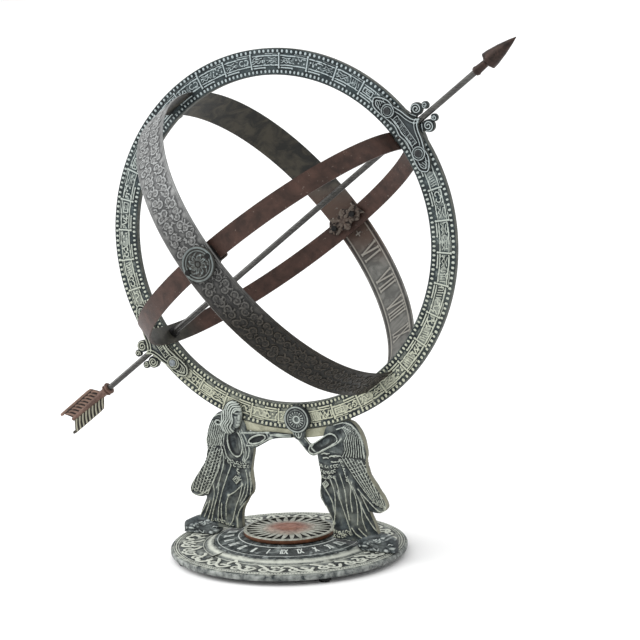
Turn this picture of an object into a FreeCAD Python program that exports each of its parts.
import FreeCAD, Part
import math
import os
import re

import Sketcher
from FreeCAD import Placement, Rotation, Vector

# Armillary sphere.  Origin on the floor under the sphere, +Z up, the meridian ring in the XZ plane.
# The sphere's own frame has its origin at the sphere centre, X along the polar axis towards the
# arrowhead, Y across the meridian ring and Z towards the upper crossing of the equatorial band.

DIMENSIONS = {
    "sphere_height": 379,       # floor to sphere centre
    "polar_angle": 38,          # polar axis above the horizon, degrees
    "ring_outer": 225,
    "ring_inner": 194,
    "ring_thick": 9,
    "ring_border": 7,           # raised border along each edge of the ring
    "ring_recess": 0.6,         # depth of the field between the borders
    "band_outer": 205.5,        # equatorial band
    "band_wall": 2.5,
    "band_width": 44.4,
    "band_turn": 1.3,           # the band leans this far round the line through its ring crossings
    "slot_gap": 0.3,            # room round the band where it passes through the ring
    "colure_outer": 193.3,
    "colure_wall": 2,
    "colure_width": 23.4,
    "rod_radius": 3.5,
    "running_gap": 0.08,        # radial clearance of a running fit
    "rod_head_end": 332,
    "rod_tail_end": 322,
    "head_start": 317,
    "head_barb": 337,
    "head_tip": 379,
    "head_radius": 10.5,
    "tail_start": 311,
    "tail_end": 383,
    "vane_tip": 394,
    "vane_half": 16,
    "vane_thick": 3,
    "cheek_thick": 5,
    "boss_radius": 9,
    "boss_height": 1.5,
    "cheek_bolt_axial": 209.4,
    "cheek_bolt_side": 30.2,
    "bolt_radius": 2.5,
    "hole_gap": 0.1,            # radial room round a bolt
    "scroll_half": 4.4,         # half thickness of a pole scroll
    "scroll_axial": 236,
    "scroll_side": 12,
    "scroll_radius": 7.5,
    "curl_axial": 247,
    "curl_side": 8.8,
    "curl_radius": 4.6,
    "rosette_radius": 20,
    "rosette_thick": 5,
    "rosette_axial": 1,         # centre of the crossing rosettes, in the band's frame
    "rosette_side": -5,         # at the front; the back one lies as far to the other side
    "rosette_pitch": 15.5,      # screws each side of a rosette's centre
    "screw_radius": 2,
    "spacer_outer": 202.4,
    "spacer_inner": 193.4,
    "leaf_outer": 187.4,
    "leaf_thick": 3,
    "clip_screw_axial": 18,
    "clip_screw_side": 11.4,
    "clip_depth": 11.5,
    "clip_gap": 0.7,            # the leaning clip to the ring's back face, in the middle
    "collar_radius": 6.5,
    "collar_width": 4.5,
    "collar_outer": 190.8,
    "foot_height": 6,
    "foot_radius": 7,
    "foot_circle": 131,
    "plate_radius": 142.5,
    "plate_top": 14,
    "plate_floor": 8.5,         # ceiling of the hollow under the plate
    "plate_wall": 7,
    "fillet_radius": 101,       # outer edge of the sloping collar round the dial
    "dial_radius": 90,
    "dial_edge": 19.5,
    "dial_inner": 58,
    "dial_top": 24.5,
    "disc_radius": 54.5,
    "disc_under": 25,
    "disc_top": 31,
    "disc_notches": 32,
    "pin_radius": 3,
    "pin_top": 29,
    "pin_bottom": 3,
    "figure_thick": 14,
    "block_thick": 19,
    "head_front": 15,           # how far a head stands out from the middle plane
    "head_back": 5.6,
    "arm_front": 8,
    "saddle_front": 3,          # the saddle's front face lies this far in front of the middle plane
    "saddle_back": 7,
    "saddle_inner": 225.4,
    "saddle_outer": 236.2,
    "screw_sink": 2.2,          # the saddle's screw heads lie flush in its back
    "saddle_left": 21.5,        # the saddle's ends, degrees either side of straight down
    "saddle_right": 21.5,
    "clamp_angle": 5.4,         # degrees from straight down
    "clamp_radius": 16.5,
    "clamp_centre": 212.5,
    "clamp_face": 12,
    "clamp_gap": 0.3,           # clamp jaws to the ring's faces
    "clamp_bolt": 231.5,
    "lug_half": 7,
    "lug_end": 237,
}

FUNCTIONS = ("sqrt", "sin", "cos", "tan")

doc = FreeCAD.newDocument("armillary")
sheet = doc.addObject("Spreadsheet::Sheet", "dims")
nodes = []


def fill_sheet():
    for row, (alias, value) in enumerate(DIMENSIONS.items(), start=1):
        sheet.set("A%d" % row, alias)
        sheet.set("B%d" % row, str(value))
        sheet.setAlias("B%d" % row, alias)
    doc.recompute()


def bound(text):
    """Turn a formula of dimension names into an expression on the sheet."""
    def cell(match):
        word = match.group(0)
        return word if word in FUNCTIONS else "dims." + word
    return re.sub(r"[a-z][a-z_]+", cell, str(text))


def size(text):
    """The number that a formula of dimension names comes to."""
    result = sheet.evalExpression(bound(text))
    return float(getattr(result, "Value", result))


def sphere_frame(turn=0):
    """The sphere's frame; turn=180 swaps the poles and keeps the front in front."""
    tilt = Rotation(Vector(0, 1, 0), turn - size("polar_angle"))
    return Placement(Vector(0, 0, size("sphere_height")), tilt)


def band_frame(turn=0):
    """The equatorial band's frame: the sphere's, turned a little about its Z."""
    lean = Rotation(Vector(0, 0, 1), size("band_turn") * (-1 if turn else 1))
    return sphere_frame(turn).multiply(Placement(Vector(), lean))


def keep(thing, label, place=None):
    """Name a finished sub-part, set its placement and list it as a node."""
    thing.Label = label
    if place is not None:
        thing.Placement = place
    nodes.append(thing)
    return thing


def new_body(label, place):
    body = doc.addObject("PartDesign::Body", label)
    return keep(body, label, place)


def new_sketch(body, role, offset="0"):
    sketch = body.newObject("Sketcher::SketchObject", body.Name + "_sketch")
    plane = [f for f in body.Origin.OriginFeatures if f.Role == role][0]
    sketch.AttachmentSupport = [(plane, "")]
    sketch.MapMode = "FlatFace"
    sketch.AttachmentOffset = Placement(Vector(0, 0, size(offset)), Rotation())
    sketch.setExpression("AttachmentOffset.Base.z", bound(offset))
    return sketch


def add_circle(sketch, x, y, radius):
    """A circle whose centre and radius follow the sheet."""
    centre = Vector(size(x), size(y), 0)
    edge = sketch.addGeometry(Part.Circle(centre, Vector(0, 0, 1), size(radius)), False)
    rules = (("Radius", (edge,), radius), ("DistanceX", (-1, 1, edge, 3), x),
             ("DistanceY", (-1, 1, edge, 3), y))
    for kind, where, formula in rules:
        number = sketch.addConstraint(Sketcher.Constraint(kind, *where, size(formula)))
        sketch.setExpression("Constraints[%d]" % number, bound(formula))


def add_outline(sketch, points):
    """A closed outline of straight lines through points given as pairs of formulas."""
    corners = [Vector(size(x), size(y), 0) for x, y in points]
    count = len(corners)
    first = sketch.GeometryCount
    for i in range(count):
        sketch.addGeometry(Part.LineSegment(corners[i], corners[(i + 1) % count]), False)
    for i in range(count):
        here, after = first + i, first + (i + 1) % count
        sketch.addConstraint(Sketcher.Constraint("Coincident", here, 2, after, 1))
    for i, (x, y) in enumerate(points):
        for kind, formula in (("DistanceX", x), ("DistanceY", y)):
            rule = Sketcher.Constraint(kind, -1, 1, first + i, 1, size(formula))
            number = sketch.addConstraint(rule)
            sketch.setExpression("Constraints[%d]" % number, bound(formula))


def add_curve(sketch, points):
    """A closed smooth outline through hand-set points."""
    curve = Part.BSplineCurve()
    curve.interpolate([Vector(x, y, 0) for x, y in points], PeriodicFlag=True)
    sketch.addGeometry(curve, False)


def add_polygon(sketch, points):
    corners = [Vector(x, y, 0) for x, y in points]
    for i, corner in enumerate(corners):
        sketch.addGeometry(Part.LineSegment(corner, corners[(i + 1) % len(corners)]), False)


def pad(body, sketch, length, middle=False, reverse=False):
    feature = body.newObject("PartDesign::Pad", body.Name + "_pad")
    feature.Profile = sketch
    feature.Length = size(length)
    feature.setExpression("Length", bound(length))
    feature.Midplane = middle
    feature.Reversed = reverse
    doc.recompute()
    return feature


def pocket_through(body, sketch):
    """Cut a sketch right through the body, both ways from its plane."""
    before = body.Shape.Volume
    feature = body.newObject("PartDesign::Pocket", body.Name + "_pocket")
    feature.Profile = sketch
    feature.Type = "ThroughAll"
    feature.Midplane = True
    doc.recompute()
    if not body.Shape.Volume < before:
        raise RuntimeError("a pocket in %s cuts nothing" % body.Name)
    return feature


def pocket(body, sketch, length, reverse=False):
    before = body.Shape.Volume
    feature = body.newObject("PartDesign::Pocket", body.Name + "_pocket")
    feature.Profile = sketch
    feature.Length = size(length)
    feature.setExpression("Length", bound(length))
    feature.Reversed = reverse
    doc.recompute()
    if not body.Shape.Volume < before:
        raise RuntimeError("a pocket in %s cuts nothing" % body.Name)
    return feature


def revolve(body, sketch, axis):
    feature = body.newObject("PartDesign::Revolution", body.Name + "_turn")
    feature.Profile = sketch
    feature.ReferenceAxis = (sketch, [axis])
    feature.Angle = 360
    doc.recompute()
    return feature


def polar_copies(body, feature, role, count):
    pattern = body.newObject("PartDesign::PolarPattern", body.Name + "_pattern")
    axis = [f for f in body.Origin.OriginFeatures if f.Role == role][0]
    pattern.Originals = [feature]
    pattern.Axis = (axis, [""])
    pattern.Angle = 360
    pattern.Occurrences = int(size(count))
    body.Tip = pattern
    doc.recompute()
    return pattern


def cylinder(name, radius, height, base, direction):
    """A Part cylinder from formulas, standing on base and pointing along direction."""
    rod = doc.addObject("Part::Cylinder", name)
    rod.setExpression("Radius", bound(radius))
    rod.setExpression("Height", bound(height))
    turn = Rotation(Vector(0, 0, 1), Vector(*direction))
    rod.Placement = Placement(Vector(*[size(b) for b in base]), turn)
    for axis, formula in zip("xyz", base):
        rod.setExpression("Placement.Base." + axis, bound(formula))
    return rod


def box(name, low, high):
    """A Part box between two corners given as formulas."""
    block = doc.addObject("Part::Box", name)
    for side, a, b in zip(("Length", "Width", "Height"), low, high):
        block.setExpression(side, bound("(%s) - (%s)" % (b, a)))
    for axis, formula in zip("xyz", low):
        block.setExpression("Placement.Base." + axis, bound(formula))
    return block


def fuse(name, parts):
    joined = doc.addObject("Part::MultiFuse", name)
    joined.Shapes = parts
    joined.Refine = True
    return joined


def cut(name, base, tool):
    rest = doc.addObject("Part::Cut", name)
    rest.Base = base
    rest.Tool = tool
    doc.recompute()
    return rest


def group(label, parts, place):
    """Identical loose pieces that share one node."""
    together = doc.addObject("Part::Compound", label)
    together.Links = parts
    return keep(together, label, place)


def hoop(label, outer, wall, width, role, place):
    """A thin hoop round the normal of one of its body's origin planes."""
    body = new_body(label, place)
    sketch = new_sketch(body, role)
    add_circle(sketch, "0", "0", outer)
    add_circle(sketch, "0", "0", "%s - %s" % (outer, wall))
    pad(body, sketch, width, middle=True)
    return body


# ---- base ----

def make_base_plate():
    body = new_body("base_plate", Placement())
    sketch = new_sketch(body, "XZ_Plane")
    bore = "pin_radius + running_gap"
    add_outline(sketch, (
        (bore, "plate_floor"), ("plate_radius - plate_wall", "plate_floor"),
        ("plate_radius - plate_wall", "foot_height"), ("plate_radius - 2", "foot_height"),
        ("plate_radius", "foot_height + 2"), ("plate_radius", "plate_top - 2.5"),
        ("plate_radius - 2.5", "plate_top"), ("fillet_radius", "plate_top"),
        ("dial_radius + 3", "dial_edge - 2.2"), ("dial_radius + 0.2", "dial_edge - 1.6"),
        ("dial_radius + 0.2", "plate_top - 0.5"), (bore, "plate_top - 0.5")))
    revolve(body, sketch, "V_Axis")
    holes = new_sketch(body, "XY_Plane")
    for x in ("-130", "-104", "104", "130"):
        add_circle(holes, x, "0", "bolt_radius + hole_gap")
    for x, y in (("0", "70"), ("60", "-36"), ("-60", "-36")):
        add_circle(holes, x, y, "screw_radius + hole_gap")
    pocket_through(body, holes)
    return body


def make_feet():
    feet = []
    for i in range(4):
        angle = math.radians(45 + 90 * i)
        spot = ("foot_circle * %.6f" % math.cos(angle), "foot_circle * %.6f" % math.sin(angle))
        stem = cylinder("foot_stem%d" % i, "foot_radius", "foot_height - 2", spot + ("2",), (0, 0, 1))
        toe = cylinder("foot_toe%d" % i, "foot_radius - 1.5", "2", spot + ("0",), (0, 0, 1))
        feet.append(fuse("foot%d" % i, [stem, toe]))
    return group("base_feet", feet, Placement())


def make_hour_dial():
    body = new_body("hour_dial", Placement())
    sketch = new_sketch(body, "XZ_Plane")
    bore = "pin_radius + running_gap"
    add_outline(sketch, (
        (bore, "plate_top - 0.5"), ("dial_radius", "plate_top - 0.5"),
        ("dial_radius", "dial_edge - 1"), ("dial_radius - 1", "dial_edge"),
        ("dial_inner + 1", "dial_top - 1"), ("dial_inner", "dial_top"),
        ("dial_inner - 2", "dial_top"), (bore, "dial_top")))
    revolve(body, sketch, "V_Axis")
    return body


def make_dial_screws():
    screws = []
    for i, (x, y) in enumerate((("0", "70"), ("60", "-36"), ("-60", "-36"))):
        shank = cylinder("dial_shank%d" % i, "screw_radius", "5", (x, y, "plate_floor"), (0, 0, 1))
        head = cylinder("dial_head%d" % i, "screw_radius * 2", "2.5", (x, y, "plate_floor - 2.5"),
                        (0, 0, 1))
        screws.append(fuse("dial_screw%d" % i, [shank, head]))
    return group("dial_screws", screws, Placement())


def make_sun_disc():
    body = new_body("sun_disc", Placement())
    sketch = new_sketch(body, "XZ_Plane")
    add_outline(sketch, (
        ("pin_radius", "dial_top + 0.1"), ("15", "dial_top + 0.1"), ("16", "disc_under"),
        ("disc_radius - 1", "disc_under"), ("disc_radius", "disc_under + 1"),
        ("disc_radius", "disc_top - 1"), ("disc_radius - 1", "disc_top"), ("30", "disc_top"),
        ("27", "disc_top + 0.8"), ("14", "disc_top + 2"), ("0", "disc_top + 2.4"),
        ("0", "pin_top"), ("pin_radius", "pin_top")))
    revolve(body, sketch, "V_Axis")
    notch = new_sketch(body, "XY_Plane", "disc_top")
    add_polygon(notch, ((34, 0), (50.5, -1.9), (50.5, 1.9)))
    polar_copies(body, pocket(body, notch, "1.4"), "Z_Axis", "disc_notches")
    return body


def make_sun_disc_pin():
    pin = cylinder("sun_disc_pin", "pin_radius", "pin_top - pin_bottom", ("0", "0", "pin_bottom"),
                   (0, 0, 1))
    return keep(pin, "sun_disc_pin")


def make_sun_disc_nut():
    body = new_body("sun_disc_nut", Placement())
    sketch = new_sketch(body, "XY_Plane", "plate_floor - 4.3")
    corners = [(5.8 * math.cos(math.radians(60 * i)), 5.8 * math.sin(math.radians(60 * i)))
               for i in range(6)]
    add_polygon(sketch, corners)
    add_circle(sketch, "0", "0", "pin_radius")
    pad(body, sketch, "4")
    return body


# ---- figures, saddle and clamp ----

# Front view outlines, x and z.  The right-hand figure's body is the left one's turned about Z.
BODY_OUTLINE = (
    (-122, 24), (-117, 44), (-110, 61), (-117, 60.5), (-125, 61.5), (-131, 67), (-130, 75),
    (-120, 90), (-110.5, 104), (-107, 114), (-106, 123), (-107, 131), (-104, 145), (-99, 157),
    (-93, 165), (-86, 169), (-74, 169), (-60, 165), (-53, 155), (-50, 143), (-43, 127),
    (-45.5, 110), (-47.5, 95), (-45.5, 75), (-53, 63), (-60, 50), (-62, 36), (-62, 25.8),
    (-76, 24.6), (-92, 23.6), (-108, 22))
BLOCK_OUTLINE = (
    (-140, 14), (-102, 14), (-93.6, 17.6), (-93.5, 24), (-98, 29), (-112, 34), (-124, 35),
    (-134, 31.5), (-142, 27), (-142, 18))
HEAD_OUTLINE = (
    (-84, 158), (-82, 170), (-77, 180), (-67, 185), (-58, 181), (-54.5, 172), (-55, 162),
    (-58.5, 154), (-62, 146), (-74, 142), (-84, 148))
STRAIGHT_ARM = (
    (-62, 146), (-50, 147.5), (-34, 148), (-17, 149), (0, 148.5), (10, 148), (12, 146),
    (10, 143.5), (-4, 142), (-17, 139.5), (-30, 132.5), (-42, 127), (-56, 130))
BENT_ARM = (
    (21, 140), (30, 140.5), (38, 138.5), (46, 144), (58, 152), (70, 156), (78, 150), (74, 141),
    (58, 133.5), (46, 127), (38, 124.5), (32, 128))


def mirrored(points):
    return [(-x, z) for x, z in reversed(points)]


def make_figure(label, side, arm):
    """A flat winged figure; side is -1 for the left one and 1 for the right one."""
    turn = (lambda points: points) if side < 0 else mirrored
    body = new_body(label, Placement())
    trunk = new_sketch(body, "XZ_Plane")
    add_curve(trunk, turn(BODY_OUTLINE))
    pad(body, trunk, "figure_thick", middle=True)
    block = new_sketch(body, "XZ_Plane")
    add_polygon(block, turn(BLOCK_OUTLINE))
    pad(body, block, "block_thick", middle=True)
    trim_for_ring(body)
    trim_for_saddle(body)
    head = new_sketch(body, "XZ_Plane", "head_back" if side < 0 else "-head_front")
    add_curve(head, turn(HEAD_OUTLINE))
    pad(body, head, "head_front - head_back" if side < 0 else "head_front - saddle_back")
    limb = new_sketch(body, "XZ_Plane", "saddle_front")
    add_curve(limb, arm)
    pad(body, limb, "arm_front - saddle_front")
    holes = new_sketch(body, "XY_Plane")
    for x in (104, 130):
        add_circle(holes, str(side * x), "0", "bolt_radius")
    pocket(body, holes, "24.5", reverse=True)
    return body


def trim_for_ring(body):
    """Keep the trunk outside the ring's path."""
    path = new_sketch(body, "XZ_Plane")
    add_circle(path, "0", "sphere_height", "saddle_inner")
    pocket_through(body, path)


def trim_for_saddle(body):
    """A rebate in the back of the trunk that holds the saddle's end."""
    rebate = new_sketch(body, "XZ_Plane", "-saddle_back - 1")
    add_circle(rebate, "0", "sphere_height", "saddle_outer")
    pocket(body, rebate, "saddle_back + 1 + saddle_front", reverse=True)


def radial_point(radius, angle):
    """Formulas of the point at that radius from the sphere centre, angle from straight down."""
    return ("(%s) * sin(%s)" % (radius, angle), "sphere_height - (%s) * cos(%s)" % (radius, angle))


def arc_sector(sketch, inner, outer, left, right):
    """An annular sector below the sphere centre between two angles from straight down."""
    centre = Vector(0, size("sphere_height"), 0)
    start = math.radians(-90 - left)
    stop = math.radians(-90 + right)
    arcs = []
    for radius in (inner, outer):
        circle = Part.Circle(centre, Vector(0, 0, 1), radius)
        arcs.append(Part.ArcOfCircle(circle, start, stop))
    for arc in arcs:
        sketch.addGeometry(arc, False)
    sketch.addGeometry(Part.LineSegment(arcs[0].StartPoint, arcs[1].StartPoint), False)
    sketch.addGeometry(Part.LineSegment(arcs[0].EndPoint, arcs[1].EndPoint), False)


def make_saddle():
    body = new_body("ring_saddle", Placement())
    sketch = new_sketch(body, "XZ_Plane", "-saddle_back")
    arc_sector(sketch, size("saddle_inner"), size("saddle_outer"), size("saddle_left"),
               size("saddle_right"))
    pad(body, sketch, "saddle_back + saddle_front")
    holes = new_sketch(body, "XZ_Plane")
    x, z = radial_point("clamp_bolt", "clamp_angle")
    add_circle(holes, x, z, "bolt_radius + hole_gap")
    for angle in SADDLE_SCREW_ANGLES:
        x, z = radial_point("clamp_bolt", angle)
        add_circle(holes, x, z, "screw_radius + hole_gap")
    pocket_through(body, holes)
    seats = new_sketch(body, "XZ_Plane", "-saddle_back")
    for angle in SADDLE_SCREW_ANGLES:
        x, z = radial_point("clamp_bolt", angle)
        add_circle(seats, x, z, "screw_radius * 1.8 + hole_gap")
    pocket(body, seats, "screw_sink", reverse=True)
    return body


SADDLE_SCREW_ANGLES = ("-19", "-16.5", "17", "19.5")


def make_saddle_screws():
    screws = []
    for i, angle in enumerate(SADDLE_SCREW_ANGLES):
        x, z = radial_point("clamp_bolt", angle)
        shank = cylinder("saddle_shank%d" % i, "screw_radius",
                         "saddle_back + saddle_front - screw_sink", (x, "-saddle_front", z),
                         (0, 1, 0))
        head = cylinder("saddle_head%d" % i, "screw_radius * 1.8", "screw_sink",
                        (x, "saddle_back - screw_sink", z), (0, 1, 0))
        screws.append(fuse("saddle_screw%d" % i, [shank, head]))
    return group("saddle_screws", screws, Placement())


def make_figure_bolts():
    bolts = []
    for i, x in enumerate(("-130", "-104", "104", "130")):
        shank = cylinder("figure_shank%d" % i, "bolt_radius", "24 - plate_floor",
                         (x, "0", "plate_floor"), (0, 0, 1))
        head = cylinder("figure_head%d" % i, "bolt_radius * 1.8", "4", (x, "0", "plate_floor - 4"),
                        (0, 0, 1))
        bolts.append(fuse("figure_bolt%d" % i, [shank, head]))
    return group("figure_bolts", bolts, Placement())


def clamp_frame():
    """Origin at the sphere centre, Z down the clamp's own radius, Y towards the back."""
    turn = Rotation(Vector(0, 1, 0), 180 - size("clamp_angle"))
    return Placement(Vector(0, 0, size("sphere_height")), turn)


def make_clamp_rosette():
    """Medallion in front of the ring, with a lug that reaches down on to the saddle."""
    body = new_body("clamp_rosette", clamp_frame())
    disc = new_sketch(body, "XZ_Plane", "ring_thick / 2 + clamp_gap")
    add_circle(disc, "0", "clamp_centre", "clamp_radius")
    pad(body, disc, "clamp_face - ring_thick / 2 - clamp_gap")
    lug = new_sketch(body, "XZ_Plane", "ring_thick / 2 + clamp_gap")
    add_outline(lug, (("-lug_half", "clamp_centre"), ("lug_half", "clamp_centre"),
                      ("lug_half", "lug_end"), ("-lug_half", "lug_end")))
    pad(body, lug, "clamp_face - ring_thick / 2 - clamp_gap - 2")
    foot = new_sketch(body, "XZ_Plane", "saddle_front")
    add_outline(foot, (("-lug_half", "saddle_inner + 0.3"), ("lug_half", "saddle_inner + 0.3"),
                       ("lug_half", "lug_end"), ("-lug_half", "lug_end")))
    pad(body, foot, "ring_thick / 2 + clamp_gap - saddle_front + 0.5")
    eye = new_sketch(body, "XZ_Plane", "clamp_face")
    add_circle(eye, "0", "clamp_centre", "3")
    pocket(body, eye, "3")
    thread = new_sketch(body, "XZ_Plane", "saddle_front - 0.5")
    add_circle(thread, "0", "clamp_bolt", "bolt_radius")
    pocket(body, thread, "5.5", reverse=True)
    return body


def make_clamp_back_plate():
    body = new_body("clamp_back_plate", clamp_frame())
    plate = new_sketch(body, "XZ_Plane", "-saddle_back - 4")
    add_outline(plate, (("-9", "200"), ("9", "200"), ("lug_half", "lug_end"),
                        ("-lug_half", "lug_end")))
    pad(body, plate, "4")
    jaw = new_sketch(body, "XZ_Plane", "-saddle_back - 0.5")
    add_outline(jaw, (("-9", "200"), ("9", "200"), ("8", "ring_outer"), ("-8", "ring_outer")))
    pad(body, jaw, "saddle_back + 0.5 - ring_thick / 2 - clamp_gap")
    hole = new_sketch(body, "XZ_Plane")
    add_circle(hole, "0", "clamp_bolt", "bolt_radius + hole_gap")
    pocket_through(body, hole)
    return body


def make_clamp_screw():
    shank = cylinder("clamp_shank", "bolt_radius", "saddle_back + 4 + saddle_front + 4.5",
                     ("0", "-saddle_front - 4.5", "clamp_bolt"), (0, 1, 0))
    head = cylinder("clamp_head", "bolt_radius * 1.8", "4", ("0", "saddle_back + 4", "clamp_bolt"),
                    (0, 1, 0))
    return keep(fuse("clamp_screw", [shank, head]), "clamp_screw", clamp_frame())


# ---- sphere ----

def make_meridian_ring():
    body = new_body("meridian_ring", sphere_frame())
    sketch = new_sketch(body, "XY_Plane")
    face, floor = "ring_thick / 2", "ring_thick / 2 - ring_recess"
    low, high = "ring_inner + ring_border", "ring_outer - ring_border"
    add_outline(sketch, (
        ("ring_inner", "1 - (%s)" % face), ("ring_inner + 1", "-(%s)" % face),
        (low, "-(%s)" % face), (low, "-(%s)" % floor), (high, "-(%s)" % floor),
        (high, "-(%s)" % face), ("ring_outer - 1", "-(%s)" % face),
        ("ring_outer", "1 - (%s)" % face), ("ring_outer", "(%s) - 1" % face),
        ("ring_outer - 1", face), (high, face), (high, floor), (low, floor), (low, face),
        ("ring_inner + 1", face), ("ring_inner", "(%s) - 1" % face)))
    revolve(body, sketch, "V_Axis")
    slots = new_sketch(body, "XZ_Plane")
    half = "band_width / 2 + slot_gap"
    for sign in ("", "-"):
        near = "%s(band_outer - band_wall - slot_gap - 0.1)" % sign
        far = "%s(band_outer + slot_gap)" % sign
        add_outline(slots, (("-(%s)" % half, near), (half, near), (half, far),
                            ("-(%s)" % half, far)))
    for x in ("cheek_bolt_axial", "-cheek_bolt_axial"):
        for z in ("cheek_bolt_side", "-cheek_bolt_side"):
            add_circle(slots, x, z, "bolt_radius + hole_gap")
    pocket_through(body, slots)
    bore = new_sketch(body, "YZ_Plane")
    add_circle(bore, "0", "0", "rod_radius + running_gap")
    pocket_through(body, bore)
    return body


def rosette_screw_spots(front):
    side = "rosette_side" if front else "-rosette_side"
    return (("rosette_axial - rosette_pitch", side), ("rosette_axial + rosette_pitch", side))


def drill_for_rosettes(body, turn="0"):
    """The rosettes' screw holes, front wall and back wall of a band, turned about its Z."""
    for front in (True, False):
        holes = new_sketch(body, "XZ_Plane")
        lean = Rotation(Vector(0, 1, 0), size(turn))
        holes.AttachmentOffset = Placement(Vector(), lean)
        for x, z in rosette_screw_spots(front):
            add_circle(holes, x, z, "screw_radius + hole_gap")
        pocket(body, holes, "band_outer + 1", reverse=front)


def make_equatorial_band():
    body = hoop("equatorial_band", "band_outer", "band_wall", "band_width", "YZ_Plane",
                band_frame())
    drill_for_rosettes(body)
    clip_holes = new_sketch(body, "XY_Plane")
    for x in ("-clip_screw_axial", "clip_screw_axial"):
        add_circle(clip_holes, x, "clip_screw_side", "screw_radius")
    pocket_through(body, clip_holes)
    return body


def make_colure_band():
    body = hoop("colure_band", "colure_outer", "colure_wall", "colure_width", "XY_Plane",
                sphere_frame())
    drill_for_rosettes(body, "band_turn")
    poles = new_sketch(body, "YZ_Plane")
    add_circle(poles, "0", "0", "rod_radius + running_gap")
    pocket_through(body, poles)
    return body


def crossing_frame(front):
    """Frame of a rosette: origin at its centre on the sphere's Y axis side, +Y always inward."""
    side = size("rosette_side")
    if front:
        return band_frame().multiply(Placement(Vector(size("rosette_axial"), 0, side), Rotation()))
    flip = Rotation(Vector(1, 0, 0), 180)
    return band_frame().multiply(Placement(Vector(size("rosette_axial"), 0, -side), flip))


def make_rosette(label, front):
    body = new_body(label, crossing_frame(front))
    sketch = new_sketch(body, "XY_Plane")
    seat = "band_outer + 0.1"
    add_outline(sketch, (
        ("0", "-(%s)" % seat), ("rosette_radius - 1", "-(%s)" % seat),
        ("rosette_radius", "-(%s) - 1" % seat), ("rosette_radius", "-(%s) - rosette_thick + 1" % seat),
        ("rosette_radius - 1", "-(%s) - rosette_thick" % seat),
        ("rosette_radius - 3", "-(%s) - rosette_thick" % seat),
        ("rosette_radius - 3.5", "-(%s) - rosette_thick + 1.2" % seat),
        ("5", "-(%s) - rosette_thick + 1.2" % seat), ("3", "-(%s) - rosette_thick" % seat),
        ("0", "-(%s) - rosette_thick" % seat)))
    revolve(body, sketch, "V_Axis")
    holes = new_sketch(body, "XZ_Plane")
    for x in ("-rosette_pitch", "rosette_pitch"):
        add_circle(holes, x, "0", "screw_radius + hole_gap")
    pocket_through(body, holes)
    return body


def make_spacers():
    """Blocks that hold the two bands apart at their crossings."""
    blocks = []
    for i, sign in enumerate(("-", "")):
        near, far = "%sspacer_inner" % sign, "%sspacer_outer" % sign
        low_y, high_y = (far, near) if sign else (near, far)
        side = "rosette_side" if sign else "-rosette_side"
        solid = box("spacer_block%d" % i, ("rosette_axial - 19", low_y, side + " - 10"),
                    ("rosette_axial + 19", high_y, side + " + 10"))
        tools = []
        for n, (x, z) in enumerate(rosette_screw_spots(sign == "-")):
            tools.append(cylinder("spacer_hole%d%d" % (i, n), "screw_radius + hole_gap", "40",
                                  (x, low_y + " - 5", z), (0, 1, 0)))
        blocks.append(cut("spacer%d" % i, solid, fuse("spacer_tools%d" % i, tools)))
    return group("crossing_spacers", blocks, band_frame())


LEAF_OUTLINE = (
    (-25, 0), (-18, 9), (-9, 8), (0, 13), (9, 8), (18, 11), (24, 6), (30, 9), (27, 0), (24, -8),
    (14, -9), (6, -14), (-4, -9), (-14, -12), (-20, -7))


def make_leaf_bracket(label, front):
    body = new_body(label, crossing_frame(front))
    sketch = new_sketch(body, "XZ_Plane", "leaf_outer - leaf_thick")
    add_curve(sketch, LEAF_OUTLINE)
    pad(body, sketch, "leaf_thick")
    holes = new_sketch(body, "XZ_Plane")
    for x in ("-rosette_pitch", "rosette_pitch"):
        add_circle(holes, x, "0", "screw_radius + hole_gap")
    pocket_through(body, holes)
    return body


def make_rosette_screws():
    screws = []
    outer = "band_outer + 0.1 + rosette_thick"
    inner = "leaf_outer - leaf_thick - 3"
    for i, sign in enumerate((-1, 1)):
        for n, (x, z) in enumerate(rosette_screw_spots(sign < 0)):
            tag = "%d%d" % (i, n)
            start, way = ("-(%s)" % outer, 1) if sign < 0 else (outer, -1)
            shank = cylinder("rosette_shank" + tag, "screw_radius", "%s - (%s)" % (outer, inner),
                             (x, start, z), (0, way, 0))
            head = cylinder("rosette_head" + tag, "screw_radius * 1.5", "1.2", (x, start, z),
                            (0, -way, 0))
            screws.append(fuse("rosette_screw" + tag, [shank, head]))
    return group("rosette_screws", screws, band_frame())


def ring_nut(name, x, y, z, height, way, inner, outer):
    """A round nut on a screw that runs along Y."""
    shell = cylinder(name + "_shell", outer, height, (x, y, z), (0, way, 0))
    hole = cylinder(name + "_hole", inner, height, (x, y, z), (0, way, 0))
    return cut(name, shell, hole)


def make_rosette_nuts():
    nuts = []
    seat = "leaf_outer - leaf_thick"
    for i, sign in enumerate((-1, 1)):
        for n, (x, z) in enumerate(rosette_screw_spots(sign < 0)):
            y, way = ("-(%s)" % seat, 1) if sign < 0 else (seat, -1)
            nuts.append(ring_nut("rosette_nut%d%d" % (i, n), x, y, z, "3", way, "screw_radius",
                                 "screw_radius * 1.8"))
    return group("rosette_nuts", nuts, band_frame())


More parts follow.
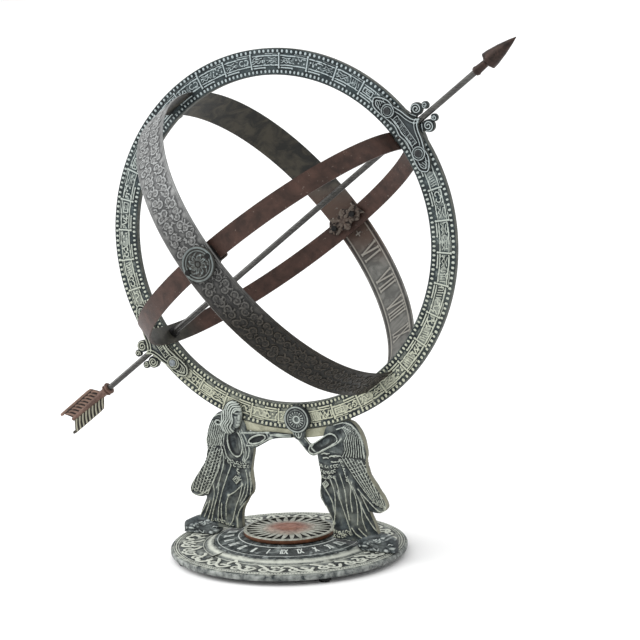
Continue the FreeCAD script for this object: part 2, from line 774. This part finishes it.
def make_band_clip(label, turn):
    """Small angle piece in the band's inner corner behind the ring."""
    body = new_body(label, band_frame(turn))
    sketch = new_sketch(body, "YZ_Plane")
    top = "band_outer - band_wall - 0.8"
    back = "ring_thick / 2 + clip_gap"
    add_outline(sketch, ((back, top), ("%s + clip_depth" % back, top),
                         ("%s + clip_depth" % back, "%s - 3" % top),
                         ("%s + 2.5" % back, "%s - 3" % top), ("%s + 2.5" % back, "%s - 7" % top),
                         (back, "%s - 7" % top)))
    pad(body, sketch, "band_width", middle=True)
    holes = new_sketch(body, "XY_Plane")
    for x in ("-clip_screw_axial", "clip_screw_axial"):
        add_circle(holes, x, "clip_screw_side", "screw_radius + hole_gap")
    pocket_through(body, holes)
    return body


def make_clip_screws():
    screws = []
    seat = "band_outer - band_wall - 3.8"
    for i, sign in enumerate((1, -1)):
        z = seat if sign > 0 else "-(%s)" % seat
        for n, x in enumerate(("-clip_screw_axial", "clip_screw_axial")):
            tag = "%d%d" % (i, n)
            spot = (x, "clip_screw_side", z)
            shank = cylinder("clip_shank" + tag, "screw_radius", "band_wall + 3.2", spot,
                             (0, 0, sign))
            head = cylinder("clip_head" + tag, "screw_radius * 1.8", "3", spot, (0, 0, -sign))
            screws.append(fuse("clip_screw" + tag, [shank, head]))
    return group("clip_screws", screws, band_frame())


# Outline of a pole cheek: x along the polar axis, z across it.
CHEEK_OUTLINE = (
    (235, 0), (229, 4), (225.5, 11), (223, 20), (219, 30), (217.5, 40), (211, 50), (204, 53),
    (197.5, 46), (198.5, 34), (202, 22), (204, 11), (202, 0), (204, -11), (202, -22),
    (198.5, -34), (197.5, -46), (204, -53), (211, -50), (217.5, -40), (219, -30), (223, -20),
    (225.5, -11), (229, -4))


def make_pole_cheek(label, turn, front):
    body = new_body(label, sphere_frame(turn))
    face = "ring_thick / 2" if front else "-ring_thick / 2 - cheek_thick"
    sketch = new_sketch(body, "XZ_Plane", face)
    add_curve(sketch, CHEEK_OUTLINE)
    pad(body, sketch, "cheek_thick")
    bosses = new_sketch(body, "XZ_Plane",
                        "ring_thick / 2 + cheek_thick" if front else "-ring_thick / 2 - cheek_thick")
    for z in ("cheek_bolt_side", "-cheek_bolt_side"):
        add_circle(bosses, "cheek_bolt_axial", z, "boss_radius")
    pad(body, bosses, "boss_height", reverse=not front)
    holes = new_sketch(body, "XZ_Plane")
    for z in ("cheek_bolt_side", "-cheek_bolt_side"):
        add_circle(holes, "cheek_bolt_axial", z, "bolt_radius + hole_gap")
    pocket_through(body, holes)
    return body


def make_pole_scroll(label, turn):
    """Block with two volutes and two small curls, standing on the ring's rim round the rod."""
    parts = [box(label + "_block", ("ring_outer + 0.1", "-scroll_half", "-scroll_side - 2"),
                 ("scroll_axial - 2", "scroll_half", "scroll_side + 2"))]
    for i, sign in enumerate(("", "-")):
        side = sign + "scroll_side"
        parts.append(cylinder("%s_volute%d" % (label, i), "scroll_radius", "scroll_half * 2",
                              ("scroll_axial", "-scroll_half", side), (0, 1, 0)))
        parts.append(cylinder("%s_curl%d" % (label, i), "curl_radius", "scroll_half * 1.6",
                              ("curl_axial", "-scroll_half * 0.8", sign + "curl_side"), (0, 1, 0)))
        low, high = ("scroll_side - 3", "scroll_side + 1.5")
        if sign:
            low, high = ("-scroll_side - 1.5", "-scroll_side + 3")
        parts.append(box("%s_neck%d" % (label, i), ("scroll_axial", "-scroll_half * 0.8", low),
                         ("curl_axial", "scroll_half * 0.8", high)))
    bore = cylinder(label + "_bore", "rod_radius + running_gap", "60", ("ring_outer - 10", "0", "0"),
                    (1, 0, 0))
    return keep(cut(label, fuse(label + "_solid", parts), bore), label, sphere_frame(turn))


def bolt_spots():
    return [(x, z) for x in ("cheek_bolt_axial", "-cheek_bolt_axial")
            for z in ("cheek_bolt_side", "-cheek_bolt_side")]


def make_pole_bolts():
    bolts = []
    reach = "ring_thick / 2 + cheek_thick + boss_height"
    for i, (x, z) in enumerate(bolt_spots()):
        start = (x, "-(%s)" % reach, z)
        shank = cylinder("pole_shank%d" % i, "bolt_radius", "2 * (%s) + 5" % reach, start,
                         (0, 1, 0))
        head = cylinder("pole_head%d" % i, "bolt_radius * 1.6", "1.6", start, (0, -1, 0))
        bolts.append(fuse("pole_bolt%d" % i, [shank, head]))
    return group("pole_bolts", bolts, sphere_frame())


def make_pole_nuts():
    nuts = []
    seat = "ring_thick / 2 + cheek_thick + boss_height"
    for i, (x, z) in enumerate(bolt_spots()):
        nuts.append(ring_nut("pole_nut%d" % i, x, seat, z, "4", 1, "bolt_radius",
                             "bolt_radius * 1.8"))
    return group("pole_nuts", nuts, sphere_frame())


# ---- arrow ----

def make_rod():
    body = new_body("gnomon_rod", sphere_frame())
    sketch = new_sketch(body, "YZ_Plane", "-rod_tail_end")
    add_circle(sketch, "0", "0", "rod_radius")
    pad(body, sketch, "rod_tail_end + rod_head_end")
    return body


def make_arrow_head():
    body = new_body("arrow_head", sphere_frame())
    sketch = new_sketch(body, "XY_Plane")
    add_outline(sketch, (
        ("head_start", "rod_radius"), ("head_start", "5"), ("head_start + 2.5", "5.8"),
        ("head_start + 5", "5"), ("head_barb - 4", "4.4"), ("head_barb - 1", "head_radius * 0.8"),
        ("head_barb", "head_radius"), ("head_barb + 6", "head_radius * 0.95"),
        ("head_barb + 20", "head_radius * 0.68"), ("head_tip - 8", "head_radius * 0.3"),
        ("head_tip", "0.3"), ("head_tip", "0"), ("rod_head_end", "0"),
        ("rod_head_end", "rod_radius")))
    revolve(body, sketch, "H_Axis")
    return body


def make_arrow_tail():
    body = new_body("arrow_tail", sphere_frame())
    spine = new_sketch(body, "XY_Plane")
    add_outline(spine, (
        ("-tail_start", "rod_radius"), ("-tail_start", "7.2"), ("-tail_start - 2.8", "7.2"),
        ("-tail_start - 3.4", "5.4"), ("-tail_start - 4.2", "5.4"), ("-tail_start - 4.7", "6.7"),
        ("-tail_start - 7.4", "6.7"), ("-tail_start - 8.2", "5"), ("-tail_start - 20", "4.3"),
        ("-tail_end", "2.7"), ("-tail_end", "0"), ("-rod_tail_end", "0"),
        ("-rod_tail_end", "rod_radius")))
    revolve(body, spine, "H_Axis")
    vanes = new_sketch(body, "XZ_Plane")
    add_outline(vanes, (
        ("-tail_start - 14", "0"), ("-tail_start - 27", "vane_half"), ("-vane_tip", "vane_half"),
        ("-tail_end + 1", "0"), ("-vane_tip", "-vane_half"), ("-tail_start - 27", "-vane_half")))
    pad(body, vanes, "vane_thick", middle=True)
    return body


def make_rod_collars():
    collars = []
    for i, sign in enumerate((1, -1)):
        x = "collar_outer" if sign > 0 else "-collar_outer"
        shell = cylinder("collar_shell%d" % i, "collar_radius", "collar_width", (x, "0", "0"),
                         (-sign, 0, 0))
        hole = cylinder("collar_hole%d" % i, "rod_radius", "collar_width", (x, "0", "0"),
                        (-sign, 0, 0))
        collars.append(cut("collar%d" % i, shell, hole))
    return group("rod_collars", collars, sphere_frame())


def build():
    make_base_plate()
    make_feet()
    make_hour_dial()
    make_dial_screws()
    make_sun_disc()
    make_sun_disc_pin()
    make_sun_disc_nut()
    make_figure("left_figure", -1, STRAIGHT_ARM)
    make_figure("right_figure", 1, BENT_ARM)
    make_saddle()
    make_saddle_screws()
    make_figure_bolts()
    make_clamp_rosette()
    make_clamp_back_plate()
    make_clamp_screw()
    make_meridian_ring()
    make_equatorial_band()
    make_colure_band()
    make_rosette("front_rosette", True)
    make_rosette("back_rosette", False)
    make_spacers()
    make_leaf_bracket("front_leaf_bracket", True)
    make_leaf_bracket("back_leaf_bracket", False)
    make_rosette_screws()
    make_rosette_nuts()
    make_band_clip("upper_band_clip", 0)
    make_band_clip("lower_band_clip", 180)
    make_clip_screws()
    for pole, turn in (("upper", 0), ("lower", 180)):
        make_pole_cheek(pole + "_pole_cheek_front", turn, True)
        make_pole_cheek(pole + "_pole_cheek_back", turn, False)
        make_pole_scroll(pole + "_pole_scroll", turn)
    make_pole_bolts()
    make_pole_nuts()
    make_rod()
    make_arrow_head()
    make_arrow_tail()
    make_rod_collars()


def check_and_export():
    doc.recompute()
    for thing in doc.Objects:
        if "Invalid" in thing.State or "Error" in thing.State:
            raise RuntimeError("%s did not recompute: %s" % (thing.Name, thing.State))
    os.makedirs("parts", exist_ok=True)
    for thing in nodes:
        shape = thing.Shape
        if shape.isNull() or not shape.isValid() or not shape.Solids:
            raise RuntimeError("%s has no valid solid" % thing.Label)
        shape.exportStep("parts/%s.step" % thing.Label)
        limits = shape.BoundBox
        print("%-24s solids %d volume %9.0f  x %7.1f %7.1f y %7.1f %7.1f z %7.1f %7.1f" % (
            thing.Label, len(shape.Solids), shape.Volume, limits.XMin, limits.XMax, limits.YMin,
            limits.YMax, limits.ZMin, limits.ZMax))


fill_sheet()
build()
check_and_export()
